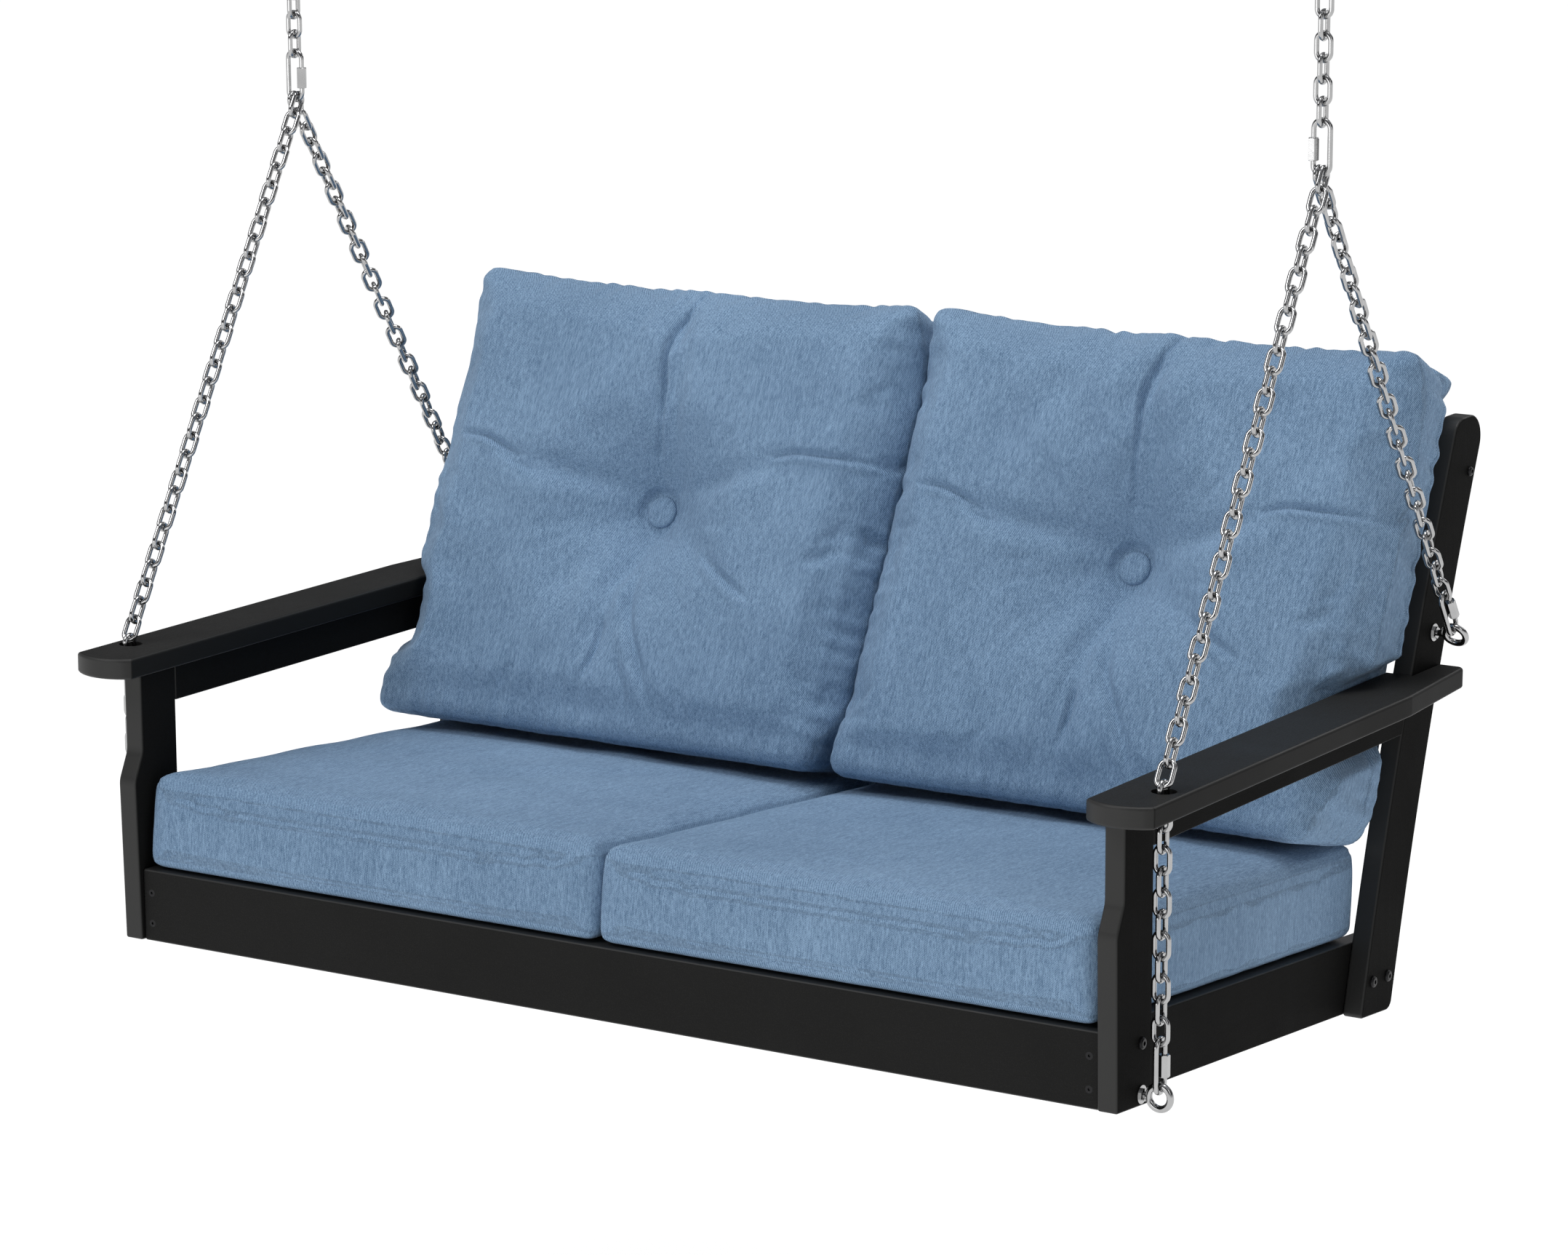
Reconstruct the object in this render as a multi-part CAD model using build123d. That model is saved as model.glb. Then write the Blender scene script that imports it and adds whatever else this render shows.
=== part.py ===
from build123d import *
import os
from math import atan, cos, degrees, radians

# Porch swing seat: a black recycled-plastic bench with four loose cushions, hung on chains.
# It is drawn in bench coordinates: +X to one side, +Y to the back, +Z up, with the origin
# at the foot of the front posts on the centre line. Each node moves to the row's frame,
# whose origin is the centre of the ceiling bolt pattern, as it is written.

# ---- boards -----------------------------------------------------------------------------
WIDTH = 1400.0  # between the outer faces of the front posts
BOARD = 26.0  # board thickness
EDGE = 3.0  # machined edge rounding
SEAT_FALL = 0.0866  # the seat falls this much per unit of depth
SEAT_Z = 93.0  # top of the seat boards at y = 0
ARM_Z = 361.4  # top of the arms at y = 0
ARM_FALL = 0.0104  # the arms fall this much per unit of depth
HALF = WIDTH / 2
INNER = HALF - BOARD  # inner face of posts and legs, outer face of side aprons
APRON_INNER = INNER - BOARD  # inner face of side aprons

# ---- front posts ------------------------------------------------------------------------
POST_DEPTH = 80.3
POST_LEAN = 4.7  # the foot's top stands this far in front of its bottom
POST_STEP_Z = 203.0  # the wider foot ends here
POST_STEP_RUN = 34.0  # height over which the front face steps back
POST_SETBACK = 11.7  # the upper front face lies this far back

# ---- back legs, bowed so that they lean more at the top ------------------------------------
LEG_DEPTH = 85.0  # measured level
LEG_FOOT_Y = 623.9  # front edge at LEG_FOOT_Z
LEG_FOOT_Z = -46.0
LEG_SLOPE = 0.25  # rearward run per unit height at the foot
LEG_BOW = 0.000133  # quadratic part of that run
LEG_TOP_Z = 649.0

# ---- aprons -----------------------------------------------------------------------------
APRON_Y = 5.0  # front face of the front apron
APRON_LOW = -1.0  # its lower edge
SIDE_LOW = 5.5  # lower edge of the side aprons at y = 0
SIDE_END_Y = 706.0  # rear end of the side aprons at their lower edge

# ---- seat -------------------------------------------------------------------------------
SEAT_SLATS = 7
SEAT_SLAT_WIDTH = 82.0
SEAT_SLAT_GAP = 8.0
SEAT_SLAT_START = 33.0  # front edge of the first slat
SEAT_SLAT_THICK = 24.0
CLEAT_WIDTH = 22.0
CLEAT_HEIGHT = 38.0
BEARER_HEIGHT = 56.0
BEARER_END_Y = 640.0
CLEAT_END_Y = 655.0
ARM_GAP = 0.1  # under the arms

# ---- back -------------------------------------------------------------------------------
BACK_SLOPE = 0.347  # rearward run per unit height of the back slats
BACK_REAR_Y = 679.2  # rear face of the slats at BACK_REF_Z
BACK_REF_Z = -10.0
BACK_SLATS = 7
BACK_SLAT_WIDTH = 80.0
BACK_SLAT_THICK = 16.0
BACK_SLAT_SPAN = 1120.0  # between the middles of the outermost slats
BACK_SLAT_LOW_Z = -40.0
BACK_SLAT_TOP_Z = 618.0
TOP_RAIL_HEIGHT = 68.0
REAR_APRON_HEIGHT = 76.0
REAR_APRON_Z = -12.0  # middle of the rear apron
TOP_RAIL_Z = 580.0

# ---- arms -------------------------------------------------------------------------------
ARM_THICK = 26.0
ARM_OUT = 750.0  # outer edge of the right arm
ARM_IN = 665.0  # inner edge
ARM_FRONT_Y = -15.0  # front corners
ARM_BOW = 17.0  # the front edge bows this far beyond its corners
ARM_TAPER_Y = 640.0  # behind here the outer edge draws in
ARM_END_Y = 822.0
ARM_END_OUT = 735.0
ARM_CORNER = 9.0
ARM_FRONT_CORNER = 3.0
ARM_EDGE = 4.0
ARM_RAIL_HEIGHT = 44.0
HOLE_R = 14.5  # the front chain passes through this hole

# ---- hangers ----------------------------------------------------------------------------
CHAIN_X = 723.8  # the hangers' distance from the centre line
CHAIN_Y = 54.5  # front chain where it hangs beside the post
HOLE_Y = 56.0  # middle of the arm's hole
APEX_Y = 420.8
APEX_Z = 1001.0  # height of the axis on which the seat tips under the top quick links
LINK_WIRE = 6.1
LINK_INSIDE = 24.85  # inside length of a chain link
LINK_WIDTH = 23.8  # outside width
PITCH = 24.55
TOUCH = 0.3  # clearance where two links bear on each other
QUICK_WIRE = 6.3
QUICK_LENGTH = 68.5
QUICK_WIDTH = 27.0
SLEEVE_LENGTH = 26.0
SLEEVE_FLATS = 11.6
SLEEVE_BORE = 3.22
SLEEVE_LOW = -15.5  # lower end of a closed sleeve, from its link's middle
EYE_R = 13.6  # centreline radius of an eye
EYE_WIRE = 8.4
SHANK_R = 4.0
FRONT_EYE = (CHAIN_X, CHAIN_Y, 9.5)
REAR_EYE = (729.0, 804.0, 395.4)
NUT_FLATS = 13.0
NUT_THICK = 6.5
JAM_NUT_THICK = 3.8
WASHER_R = 10.8
WASHER_THICK = 2.0
FRONT_LINKS = 30
REAR_LINKS = 27
UPPER_LINKS = 7
DROP_LINKS = 12
PAIR_OFFSET = 3.4  # the two V chains sit this far each side of a top link's middle
PAIR_LIFT = 8.4  # height of their top wires above the axis
PLATE = (50.0, 110.0, 6.0)
PLATE_SPACING = 70.0
PLATE_HOLE_R = 4.25

# ---- fasteners: lengths, and the places of those not found from the boards ---------------
POST_BOLT_Z = 69.0
LEG_BOLT_YS = (652.0, 693.0)
SHORT_BOLT = 44.0
LONG_BOLT = 100.0
RAIL_BOLT = 90.0
APRON_SCREW_ZS = (22.0, 61.0)
APRON_SCREW = 62.0
RAIL_SCREW_YS = (250.0, 560.0)
RAIL_SCREW = 60.0
SEAT_SCREW = 45.0
CLEAT_SCREW_YS = (110.0, 345.0, 580.0)
CLEAT_SCREW = 40.0
BACK_SCREW_OFFSET = 24.0
BACK_SCREW = 38.0

# ---- cushions ---------------------------------------------------------------------------
CUSHION_THICK = 118.0
CUSHION_FRONT_Y = 3.0
CUSHION_BACK_Y = 667.0
CUSHION_OUT = 667.0
CUSHION_IN = 1.5
CUSHION_ROUND = 14.0
CUSHION_GAP = 0.5  # between a cushion and what it lies on
BACK_FOOT_Z = 143.0  # rear lower edge of the back cushions
BACK_NOSE_Y = 490.0  # their front lower edge
BACK_NOSE_Z = 204.0
BACK_FRONT_SLOPE = 0.503  # rearward run per unit height of their fronts
BACK_TOP_Z = 732.0  # their front upper edge
BACK_IN = 2.0
BACK_OUT = 663.0  # half width between the arms
BACK_WING = 697.0  # half width above them
BACK_LOW_WING = 690.0  # half width under the arm rails
BACK_ROUND = 34.0
WING_ROUND = 18.0
WING_GAP = 1.5  # between the bulging parts and the arms
LEG_ROOM = 8.0  # between the bulging parts and the back legs
FILL_WALL = 10.0  # stuff left round the room that stands for the back cushions' loose filling
BUTTON_R = 21.5
BUTTON_THICK = 9.0
BUTTON_AT = (348.0, 685.5, 460.0)  # middle of a button's front
TUFT_DEPTH = 74.0
TUFT_R = 80.0

SIDES = (("left", -1), ("right", 1))
BACK_LEAN = degrees(atan(BACK_SLOPE))
SEAT_LEAN = degrees(atan(SEAT_FALL))


# ---- where things lie -------------------------------------------------------------------
def seat_z(y):
    """Top of the seat boards at a distance y from the front."""
    return SEAT_Z - SEAT_FALL * y


def side_low_z(y):
    """Lower edge of the side aprons at y."""
    return SIDE_LOW - SEAT_FALL * y


def arm_z(y):
    """Top of the arms at y."""
    return ARM_Z - ARM_FALL * y


def under_arm_z(y):
    """Underside of the arms at y, with a hair's room."""
    return arm_z(y) - ARM_THICK - ARM_GAP


def leg_y(z):
    """Front edge of a back leg at height z."""
    rise = z - LEG_FOOT_Z
    return LEG_FOOT_Y + LEG_SLOPE * rise + LEG_BOW * rise * rise


def back_y(z, forward=0.0):
    """Rear face of the back slats at height z, or a plane that far in front of it."""
    return BACK_REAR_Y + BACK_SLOPE * (z - BACK_REF_Z) - forward / cos(radians(BACK_LEAN))


# ---- shapes -----------------------------------------------------------------------------
def eased(solid, radius=EDGE):
    """A board with every edge rounded."""
    return fillet(solid.edges(), radius)


def rod(start, end, radius):
    """A round bar between two points."""
    line = Vector(*end) - Vector(*start)
    return extrude(Plane(origin=start, z_dir=line) * Circle(radius), line.length)


def hexagon(start, end, flats, bore=0.0):
    """A hexagon bar between two points, bored if asked."""
    line = Vector(*end) - Vector(*start)
    section = RegularPolygon(flats / 2, 6, major_radius=False)
    if bore:
        section = section - Circle(bore)
    return extrude(Plane(origin=start, z_dir=line) * section, line.length)


def washer(start, direction, outer, thick, bore):
    """A flat washer whose first face is at a point."""
    plane = Plane(origin=start, z_dir=direction)
    return extrude(plane * (Circle(outer) - Circle(bore)), thick)


def to_side(solid, side):
    """A right-hand piece, or its mirror image for the left."""
    return solid if side > 0 else mirror(solid, about=Plane.YZ)


def cut(board, pieces):
    """A board with the room that other pieces take in it, without the plugs in their sockets."""
    box = board.bounding_box()
    for piece in pieces:
        other = piece.bounding_box()
        apart = (
            box.min.X > other.max.X or other.min.X > box.max.X
            or box.min.Y > other.max.Y or other.min.Y > box.max.Y
            or box.min.Z > other.max.Z or other.min.Z > box.max.Z
        )
        if not apart:
            board = board - piece
    return board.solids().sort_by(SortBy.VOLUME)[-1]


# ---- fasteners --------------------------------------------------------------------------
def dome_bolt(x, y, z, length, head_r=7.2, shank_r=3.5):
    """A domed socket bolt driven along -X, its head outside x."""
    head = rod((x, y, z), (x + 4.2, y, z), head_r)
    head = fillet(head.faces().sort_by(Axis.X)[-1].edges(), 3.0)
    socket = hexagon((x + 1.6, y, z), (x + 5.0, y, z), 5.0)
    return head - socket + rod((x - length, y, z), (x, y, z), shank_r)


def flat_screw(head, into, length, head_r=4.6, shank_r=2.2):
    """A countersunk screw with its head flush at a point, driven along a direction."""
    plane = Plane(origin=head, z_dir=into)
    sink = head_r - shank_r
    cone = loft([plane * Circle(head_r), plane.offset(sink) * Circle(shank_r)])
    shank = extrude(plane.offset(sink) * Circle(shank_r), length - sink)
    drive = extrude(plane * RegularPolygon(1.9, 6), 1.6)
    return cone + shank - drive


def frame_bolts():
    """On each side: the post's bolt, the leg's two, and the top rail's."""
    bolts = []
    for _, side in SIDES:
        right = (
            dome_bolt(HALF, CHAIN_Y, POST_BOLT_Z, SHORT_BOLT),
            dome_bolt(HALF, LEG_BOLT_YS[0], REAR_APRON_Z + 2.5, SHORT_BOLT),
            dome_bolt(HALF, LEG_BOLT_YS[1], REAR_APRON_Z, LONG_BOLT),
            dome_bolt(HALF, back_y(TOP_RAIL_Z, -BOARD / 2), TOP_RAIL_Z, RAIL_BOLT, 6.0, 3.0),
        )
        bolts += [to_side(bolt, side) for bolt in right]
    return bolts


def frame_screws():
    """Front apron into the side aprons, and arm rails up into the arms."""
    screws = []
    for _, side in SIDES:
        for z in APRON_SCREW_ZS:
            head = (side * (APRON_INNER + BOARD / 2), APRON_Y, z)
            screws.append(flat_screw(head, (0, 1, 0), APRON_SCREW))
        for y in RAIL_SCREW_YS:
            low = under_arm_z(y) - ARM_RAIL_HEIGHT
            head = (side * (INNER + BOARD / 2), y, low)
            screws.append(flat_screw(head, (0, 0, 1), RAIL_SCREW))
    return screws


def slat_middles():
    """Depths of the seat slats' middles."""
    first = SEAT_SLAT_START + SEAT_SLAT_WIDTH / 2
    step = SEAT_SLAT_WIDTH + SEAT_SLAT_GAP
    return [first + step * n for n in range(SEAT_SLATS)]


def seat_screws():
    """Down through each seat slat into both cleats and the bearer; cleats into the aprons."""
    down = (0, -SEAT_FALL, -1)
    screws = []
    for y in slat_middles():
        for x in (-APRON_INNER + CLEAT_WIDTH / 2, 0, APRON_INNER - CLEAT_WIDTH / 2):
            screws.append(flat_screw((x, y, seat_z(y)), down, SEAT_SCREW))
    for _, side in SIDES:
        for y in CLEAT_SCREW_YS:
            z = seat_z(y) - SEAT_SLAT_THICK - CLEAT_HEIGHT * 0.7
            head = (side * (APRON_INNER - CLEAT_WIDTH), y, z)
            screws.append(flat_screw(head, (side, 0, 0), CLEAT_SCREW))
    return screws


def back_slat_places():
    """Distances of the back slats' middles from the centre line."""
    step = BACK_SLAT_SPAN / (BACK_SLATS - 1)
    return [-BACK_SLAT_SPAN / 2 + step * n for n in range(BACK_SLATS)]


def back_screws():
    """Through each back slat, twice into the rear apron and twice into the top rail."""
    into = (0, 1, -BACK_SLOPE)
    screws = []
    for x in back_slat_places():
        for z in (REAR_APRON_Z, TOP_RAIL_Z):
            for offset in (-BACK_SCREW_OFFSET, BACK_SCREW_OFFSET):
                head = (x + offset, back_y(z, BACK_SLAT_THICK), z)
                screws.append(flat_screw(head, into, BACK_SCREW))
    return screws


# ---- wooden-style boards ----------------------------------------------------------------
def side_view(points, rounds):
    """A side-view face (Y, Z) with chosen corners rounded: {corner index: radius}."""
    face = make_face(Polyline(*points, close=True))
    for index, radius in rounds.items():
        corner = Vector(*points[index])
        nearest = face.vertices().sort_by(lambda v: (Vector(v.X, v.Y) - corner).length)[0]
        face = fillet(nearest, radius)
    return Plane.YZ * face


def across(face, x_low, x_high):
    """A side-view face made solid between two distances along X."""
    return extrude(Pos(x_low, 0, 0) * face, x_high - x_low, dir=(1, 0, 0))


def front_post():
    """Right front post: a wide foot whose face steps back below the arm."""
    step_top = POST_STEP_Z + POST_STEP_RUN
    points = [
        (0, 0),
        (-POST_LEAN, POST_STEP_Z),
        (POST_SETBACK, step_top),
        (POST_SETBACK, under_arm_z(POST_SETBACK)),
        (POST_DEPTH, under_arm_z(POST_DEPTH)),
        (POST_DEPTH, -SEAT_FALL * POST_DEPTH),
    ]
    return eased(across(side_view(points, {1: 26.0, 2: 26.0}), INNER, HALF))


def back_leg():
    """Right back leg: two parallel bowed edges, square foot and rounded top."""
    foot_z = side_low_z(LEG_FOOT_Y) - 1.5
    heel_z = foot_z - SEAT_FALL * LEG_DEPTH
    middle_z = (foot_z + LEG_TOP_Z) / 2
    front = ThreePointArc(
        (leg_y(foot_z), foot_z), (leg_y(middle_z), middle_z), (leg_y(LEG_TOP_Z), LEG_TOP_Z)
    )
    rear = ThreePointArc(
        (leg_y(LEG_TOP_Z) + LEG_DEPTH, LEG_TOP_Z),
        (leg_y(middle_z) + LEG_DEPTH, middle_z),
        (leg_y(heel_z) + LEG_DEPTH, heel_z),
    )
    face = make_face([front, Line(front @ 1, rear @ 0), rear, Line(rear @ 1, front @ 0)])
    for corner, radius in (
        (front @ 1, 30.0),
        (rear @ 0, 30.0),
        (rear @ 1, 14.0),
        (front @ 0, 5.0),
    ):
        nearest = face.vertices().sort_by(lambda v: (Vector(v.X, v.Y) - corner).length)[0]
        face = fillet(nearest, radius)
    return eased(across(Plane.YZ * face, INNER, HALF))


def side_apron():
    """Right side apron: level with the seat boards, its rear end cut to the leg's lean."""
    start = APRON_Y + BOARD
    low_end = side_low_z(SIDE_END_Y)
    high_y = SIDE_END_Y + LEG_SLOPE * 86.0
    points = [
        (start, side_low_z(start)),
        (start, seat_z(start)),
        (high_y, seat_z(high_y)),
        (SIDE_END_Y, low_end),
    ]
    return eased(across(side_view(points, {}), APRON_INNER, INNER), 2.0)


def front_apron():
    """Board across the front, between the posts."""
    top = seat_z(APRON_Y + BOARD)
    board = Box(2 * INNER - 0.4, BOARD, top - APRON_LOW)
    return eased(Pos(0, APRON_Y + BOARD / 2, (top + APRON_LOW) / 2) * board)


def leaning(width, thick, height, x, z, forward):
    """A board parallel to the back slats, its middle that far in front of their rear face."""
    board = eased(Box(width, thick, height))
    return Pos(x, back_y(z, forward), z) * Rot(-BACK_LEAN, 0, 0) * board


def back_slat(x):
    """One upright slat of the back."""
    middle = (BACK_SLAT_LOW_Z + BACK_SLAT_TOP_Z) / 2
    length = (BACK_SLAT_TOP_Z - BACK_SLAT_LOW_Z) / cos(radians(BACK_LEAN))
    return leaning(BACK_SLAT_WIDTH, BACK_SLAT_THICK, length, x, middle, BACK_SLAT_THICK / 2)


def seat_slat(y):
    """One board of the seat, level with the side aprons' tops."""
    board = eased(Box(2 * APRON_INNER - 0.4, SEAT_SLAT_WIDTH, SEAT_SLAT_THICK))
    return Pos(0, y, seat_z(y)) * Rot(-SEAT_LEAN, 0, 0) * Pos(0, 0, -SEAT_SLAT_THICK / 2) * board


def under_seat(x_low, x_high, height, y_low, y_high):
    """A bearer under the seat slats."""
    low_top = seat_z(y_low) - SEAT_SLAT_THICK * 1.005
    high_top = seat_z(y_high) - SEAT_SLAT_THICK * 1.005
    points = [
        (y_low, low_top - height),
        (y_low, low_top),
        (y_high, high_top),
        (y_high, high_top - height),
    ]
    return eased(across(side_view(points, {}), x_low, x_high), 2.0)


def arm_rail():
    """Right arm rail: under the arm, from the post to the leg."""
    start = POST_DEPTH + 0.3
    top_z = under_arm_z(leg_y(ARM_Z))
    low_z = top_z - ARM_RAIL_HEIGHT
    points = [
        (start, under_arm_z(start) - ARM_RAIL_HEIGHT),
        (start, under_arm_z(start)),
        (leg_y(top_z) - 0.3, top_z),
        (leg_y(low_z) - 0.3, low_z),
    ]
    return eased(across(side_view(points, {}), INNER, HALF), 2.0)


def arm(leg):
    """Right arm: bowed front, edge drawn in at the back, notched round the leg."""
    notch_y = leg_y(arm_z(745.0)) - 0.5
    bow = ThreePointArc(
        (ARM_IN, ARM_FRONT_Y), ((ARM_IN + ARM_OUT) / 2, ARM_FRONT_Y - ARM_BOW), (ARM_OUT, ARM_FRONT_Y)
    )
    rest = Polyline(
        (ARM_OUT, ARM_FRONT_Y),
        (ARM_OUT, ARM_TAPER_Y),
        (ARM_END_OUT, ARM_END_Y),
        (HALF + 0.2, ARM_END_Y),
        (HALF + 0.2, notch_y),
        (ARM_IN, notch_y),
        (ARM_IN, ARM_FRONT_Y),
    )
    face = make_face([bow, rest])
    for corner, radius in (
        ((ARM_END_OUT, ARM_END_Y), ARM_CORNER),
        ((ARM_OUT, ARM_FRONT_Y), ARM_FRONT_CORNER),
        ((ARM_IN, ARM_FRONT_Y), ARM_FRONT_CORNER),
    ):
        nearest = face.vertices().sort_by(lambda v: (Vector(v.X, v.Y) - Vector(*corner)).length)[0]
        face = fillet(nearest, radius)
    board = extrude(face, -ARM_THICK)
    rims = board.faces().filter_by(Axis.Z).edges()
    board = fillet(rims, ARM_EDGE)
    board = Pos(0, 0, ARM_Z) * Rot(-degrees(atan(ARM_FALL)), 0, 0) * board
    hole = rod((CHAIN_X, HOLE_Y, ARM_Z - 60), (CHAIN_X, HOLE_Y, ARM_Z + 20), HOLE_R)
    return board - hole - leg


# ---- chain and fittings -----------------------------------------------------------------
def stadium(wire, inside_length, outside_width):
    """A closed link round the origin, long along Z and wide along X."""
    radius = (outside_width - wire) / 2
    straight = (inside_length + wire) / 2 - radius
    ring = Rot(90, 0, 0) * Torus(radius, wire / 2)
    upper = ring & (Pos(0, 0, radius) * Box(4 * radius, 4 * radius, 2 * radius))
    link = Pos(0, 0, straight) * upper
    link += Pos(0, 0, -straight) * (Rot(180, 0, 0) * upper)
    for x in (-radius, radius):
        link += rod((x, 0, -straight), (x, 0, straight), wire / 2)
    return link


def placed(shape, centre, line, across_dir):
    """A shape whose Z runs along a line and whose X lies as near as can be to a direction."""
    z_dir = Vector(*line).normalized()
    x_dir = Vector(*across_dir)
    x_dir = (x_dir - z_dir * x_dir.dot(z_dir)).normalized()
    return Plane(origin=centre, x_dir=x_dir, z_dir=z_dir).location * shape


def run_of_links(link, first, line, count, pitch, edge_on=True, twist=0.0):
    """Links along a line from the first one's middle, each a quarter turn from the last."""
    step = Vector(*line).normalized()
    links = []
    for n in range(count):
        turned = (n % 2 == 0) == edge_on
        turn = (90.0 if turned else 0.0) + twist * n
        centre = Vector(*first) + step * (pitch * n)
        links.append(placed(Rot(0, 0, turn) * link, centre, step, (1, 0, 0)))
    return links


def eye_bolt(centre, pull, shank_end):
    """Right eye bolt: an eye in the plane of its shank and of the pull."""
    ring = placed(Torus(EYE_R, EYE_WIRE / 2), centre, Vector(1, 0, 0).cross(Vector(*pull)), (1, 0, 0))
    shank = rod((shank_end, centre[1], centre[2]), (centre[0] - EYE_R, centre[1], centre[2]), SHANK_R)
    return ring + shank


def eye_nuts(centre, inside_x):
    """A washer and jam nut outside the board, and a washer and nut inside it."""
    y, z = centre[1], centre[2]
    outer = HALF + WASHER_THICK
    inner = inside_x - WASHER_THICK
    return [
        washer((HALF, y, z), (1, 0, 0), WASHER_R, WASHER_THICK, SHANK_R),
        hexagon((outer, y, z), (outer + JAM_NUT_THICK, y, z), NUT_FLATS, SHANK_R),
        washer((inner, y, z), (1, 0, 0), WASHER_R, WASHER_THICK, SHANK_R),
        hexagon((inner - NUT_THICK, y, z), (inner, y, z), NUT_FLATS, SHANK_R),
    ]


LINK_HALF = (LINK_INSIDE + LINK_WIRE) / 2  # middle of a link to its end wire's centre
QUICK_HALF = (QUICK_LENGTH - QUICK_WIRE) / 2
QUICK_SIDE = (QUICK_WIDTH - QUICK_WIRE) / 2  # middle of a quick link to its side wires
LINK_ON_LINK = LINK_WIRE + TOUCH
LINK_ON_QUICK = (LINK_WIRE + QUICK_WIRE) / 2 + TOUCH
LINK_ON_EYE = (LINK_WIRE + EYE_WIRE) / 2 + TOUCH
QUICK_ON_EYE = (QUICK_WIRE + EYE_WIRE) / 2 + TOUCH
QUICK_FROM_EYE = EYE_R - QUICK_ON_EYE + QUICK_HALF  # middle of an eye to its quick link's
LAST_FROM_EYE = QUICK_FROM_EYE + QUICK_HALF - LINK_ON_QUICK + LINK_HALF
FIRST_FROM_AXIS = LINK_HALF - PAIR_LIFT

UPPER_FIRST_Z = APEX_Z + 2 * QUICK_HALF - LINK_ON_QUICK + LINK_HALF
EYE_AXIS_Z = UPPER_FIRST_Z + PITCH * (UPPER_LINKS - 1) + LINK_HALF - LINK_ON_EYE
CEILING_EYE_Z = EYE_AXIS_Z + EYE_R
PLATE_LOW_Z = CEILING_EYE_Z + EYE_R + EYE_WIRE / 2 + 1.5
CEILING_Z = PLATE_LOW_Z + PLATE[2]

DROP_FIRST_Z = FRONT_EYE[2] + LAST_FROM_EYE
HOLE_WIRE_Z = DROP_FIRST_Z + PITCH * (DROP_LINKS - 1) + LINK_HALF  # the front chain bends here


def front_chain(link, side):
    """From a top quick link down to the arm's hole, then straight down beside the post."""
    top = Vector(side * CHAIN_X + PAIR_OFFSET, APEX_Y, APEX_Z)
    bend = Vector(side * CHAIN_X, CHAIN_Y, HOLE_WIRE_Z)
    line = bend - top
    reach = line.length + LINK_ON_LINK - LINK_HALF - FIRST_FROM_AXIS
    first = top + line.normalized() * FIRST_FROM_AXIS
    links = run_of_links(link, first, line, FRONT_LINKS, reach / (FRONT_LINKS - 1))
    low = (side * CHAIN_X, CHAIN_Y, DROP_FIRST_Z)
    return links + run_of_links(link, low, (0, 0, 1), DROP_LINKS, PITCH, edge_on=False)


def rear_top(side):
    """Where a rear chain leaves its top quick link's axis."""
    return Vector(side * CHAIN_X - PAIR_OFFSET, APEX_Y, APEX_Z)


def rear_eye(side):
    """Middle of a rear eye."""
    return Vector(side * REAR_EYE[0], REAR_EYE[1], REAR_EYE[2])


def rear_chain(link, side):
    """From a top quick link to the rear quick link, with a quarter turn along its length."""
    line = rear_eye(side) - rear_top(side)
    reach = line.length - LAST_FROM_EYE - FIRST_FROM_AXIS
    first = rear_top(side) + line.normalized() * FIRST_FROM_AXIS
    gaps = REAR_LINKS - 1
    return run_of_links(link, first, line, REAR_LINKS, reach / gaps, twist=90.0 / gaps)


def upper_chain(link, side):
    """Between a top quick link and the ceiling eye."""
    first = (side * CHAIN_X, APEX_Y, UPPER_FIRST_Z)
    return run_of_links(link, first, (0, 0, 1), UPPER_LINKS, PITCH)


def quick_pair(quick, sleeve, centre, line, wide):
    """A quick link and its sleeve, which sits on the side that wide points to."""
    sleeve = Pos(QUICK_SIDE, 0, SLEEVE_LOW) * sleeve
    return placed(quick, centre, line, wide), placed(sleeve, centre, line, wide)


def ceiling_plate(side):
    """A bolted plate with a welded eye."""
    plate = Box(*PLATE)
    plate = fillet(plate.edges().filter_by(Axis.Z), 10.0)
    plate = chamfer(plate.faces().sort_by(Axis.Z)[0].edges(), 1.0)
    plate = Pos(0, 0, PLATE_LOW_Z + PLATE[2] / 2) * plate
    for y in (-PLATE_SPACING / 2, PLATE_SPACING / 2):
        plate = plate - rod((0, y, PLATE_LOW_Z - 1), (0, y, CEILING_Z + 1), PLATE_HOLE_R)
    eye = Pos(0, 0, CEILING_EYE_Z) * Rot(90, 0, 0) * Torus(EYE_R, EYE_WIRE / 2)
    neck = rod((0, 0, CEILING_EYE_Z + EYE_R), (0, 0, PLATE_LOW_Z + 1), 6.0)
    return Pos(side * CHAIN_X, APEX_Y, 0) * (plate + eye + neck)


# ---- cushions ---------------------------------------------------------------------------
def seat_cushion():
    """Right seat cushion, a plain rounded block on the seat boards."""
    width = CUSHION_OUT - CUSHION_IN
    depth = CUSHION_BACK_Y - CUSHION_FRONT_Y
    middle = (CUSHION_BACK_Y + CUSHION_FRONT_Y) / 2
    block = eased(Box(width, depth, CUSHION_THICK), CUSHION_ROUND)
    lifted = Pos(0, 0, CUSHION_THICK / 2 + CUSHION_GAP) * block
    seat = Pos((CUSHION_OUT + CUSHION_IN) / 2, middle, seat_z(middle))
    return seat * Rot(-SEAT_LEAN, 0, 0) * lifted


def front_y(z):
    """Front of the back cushions at height z."""
    return BACK_NOSE_Y + BACK_FRONT_SLOPE * (z - BACK_NOSE_Z)


def foot_y():
    """Rear lower edge of the back cushions, against the slats."""
    return back_y(BACK_FOOT_Z, BACK_SLAT_THICK + CUSHION_GAP)


def under_back_z(y):
    """Underside of the back cushions at y: it rises forward off the seat cushions."""
    share = (y - BACK_NOSE_Y) / (foot_y() - BACK_NOSE_Y)
    return BACK_NOSE_Z + share * (BACK_FOOT_Z - BACK_NOSE_Z)


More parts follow.
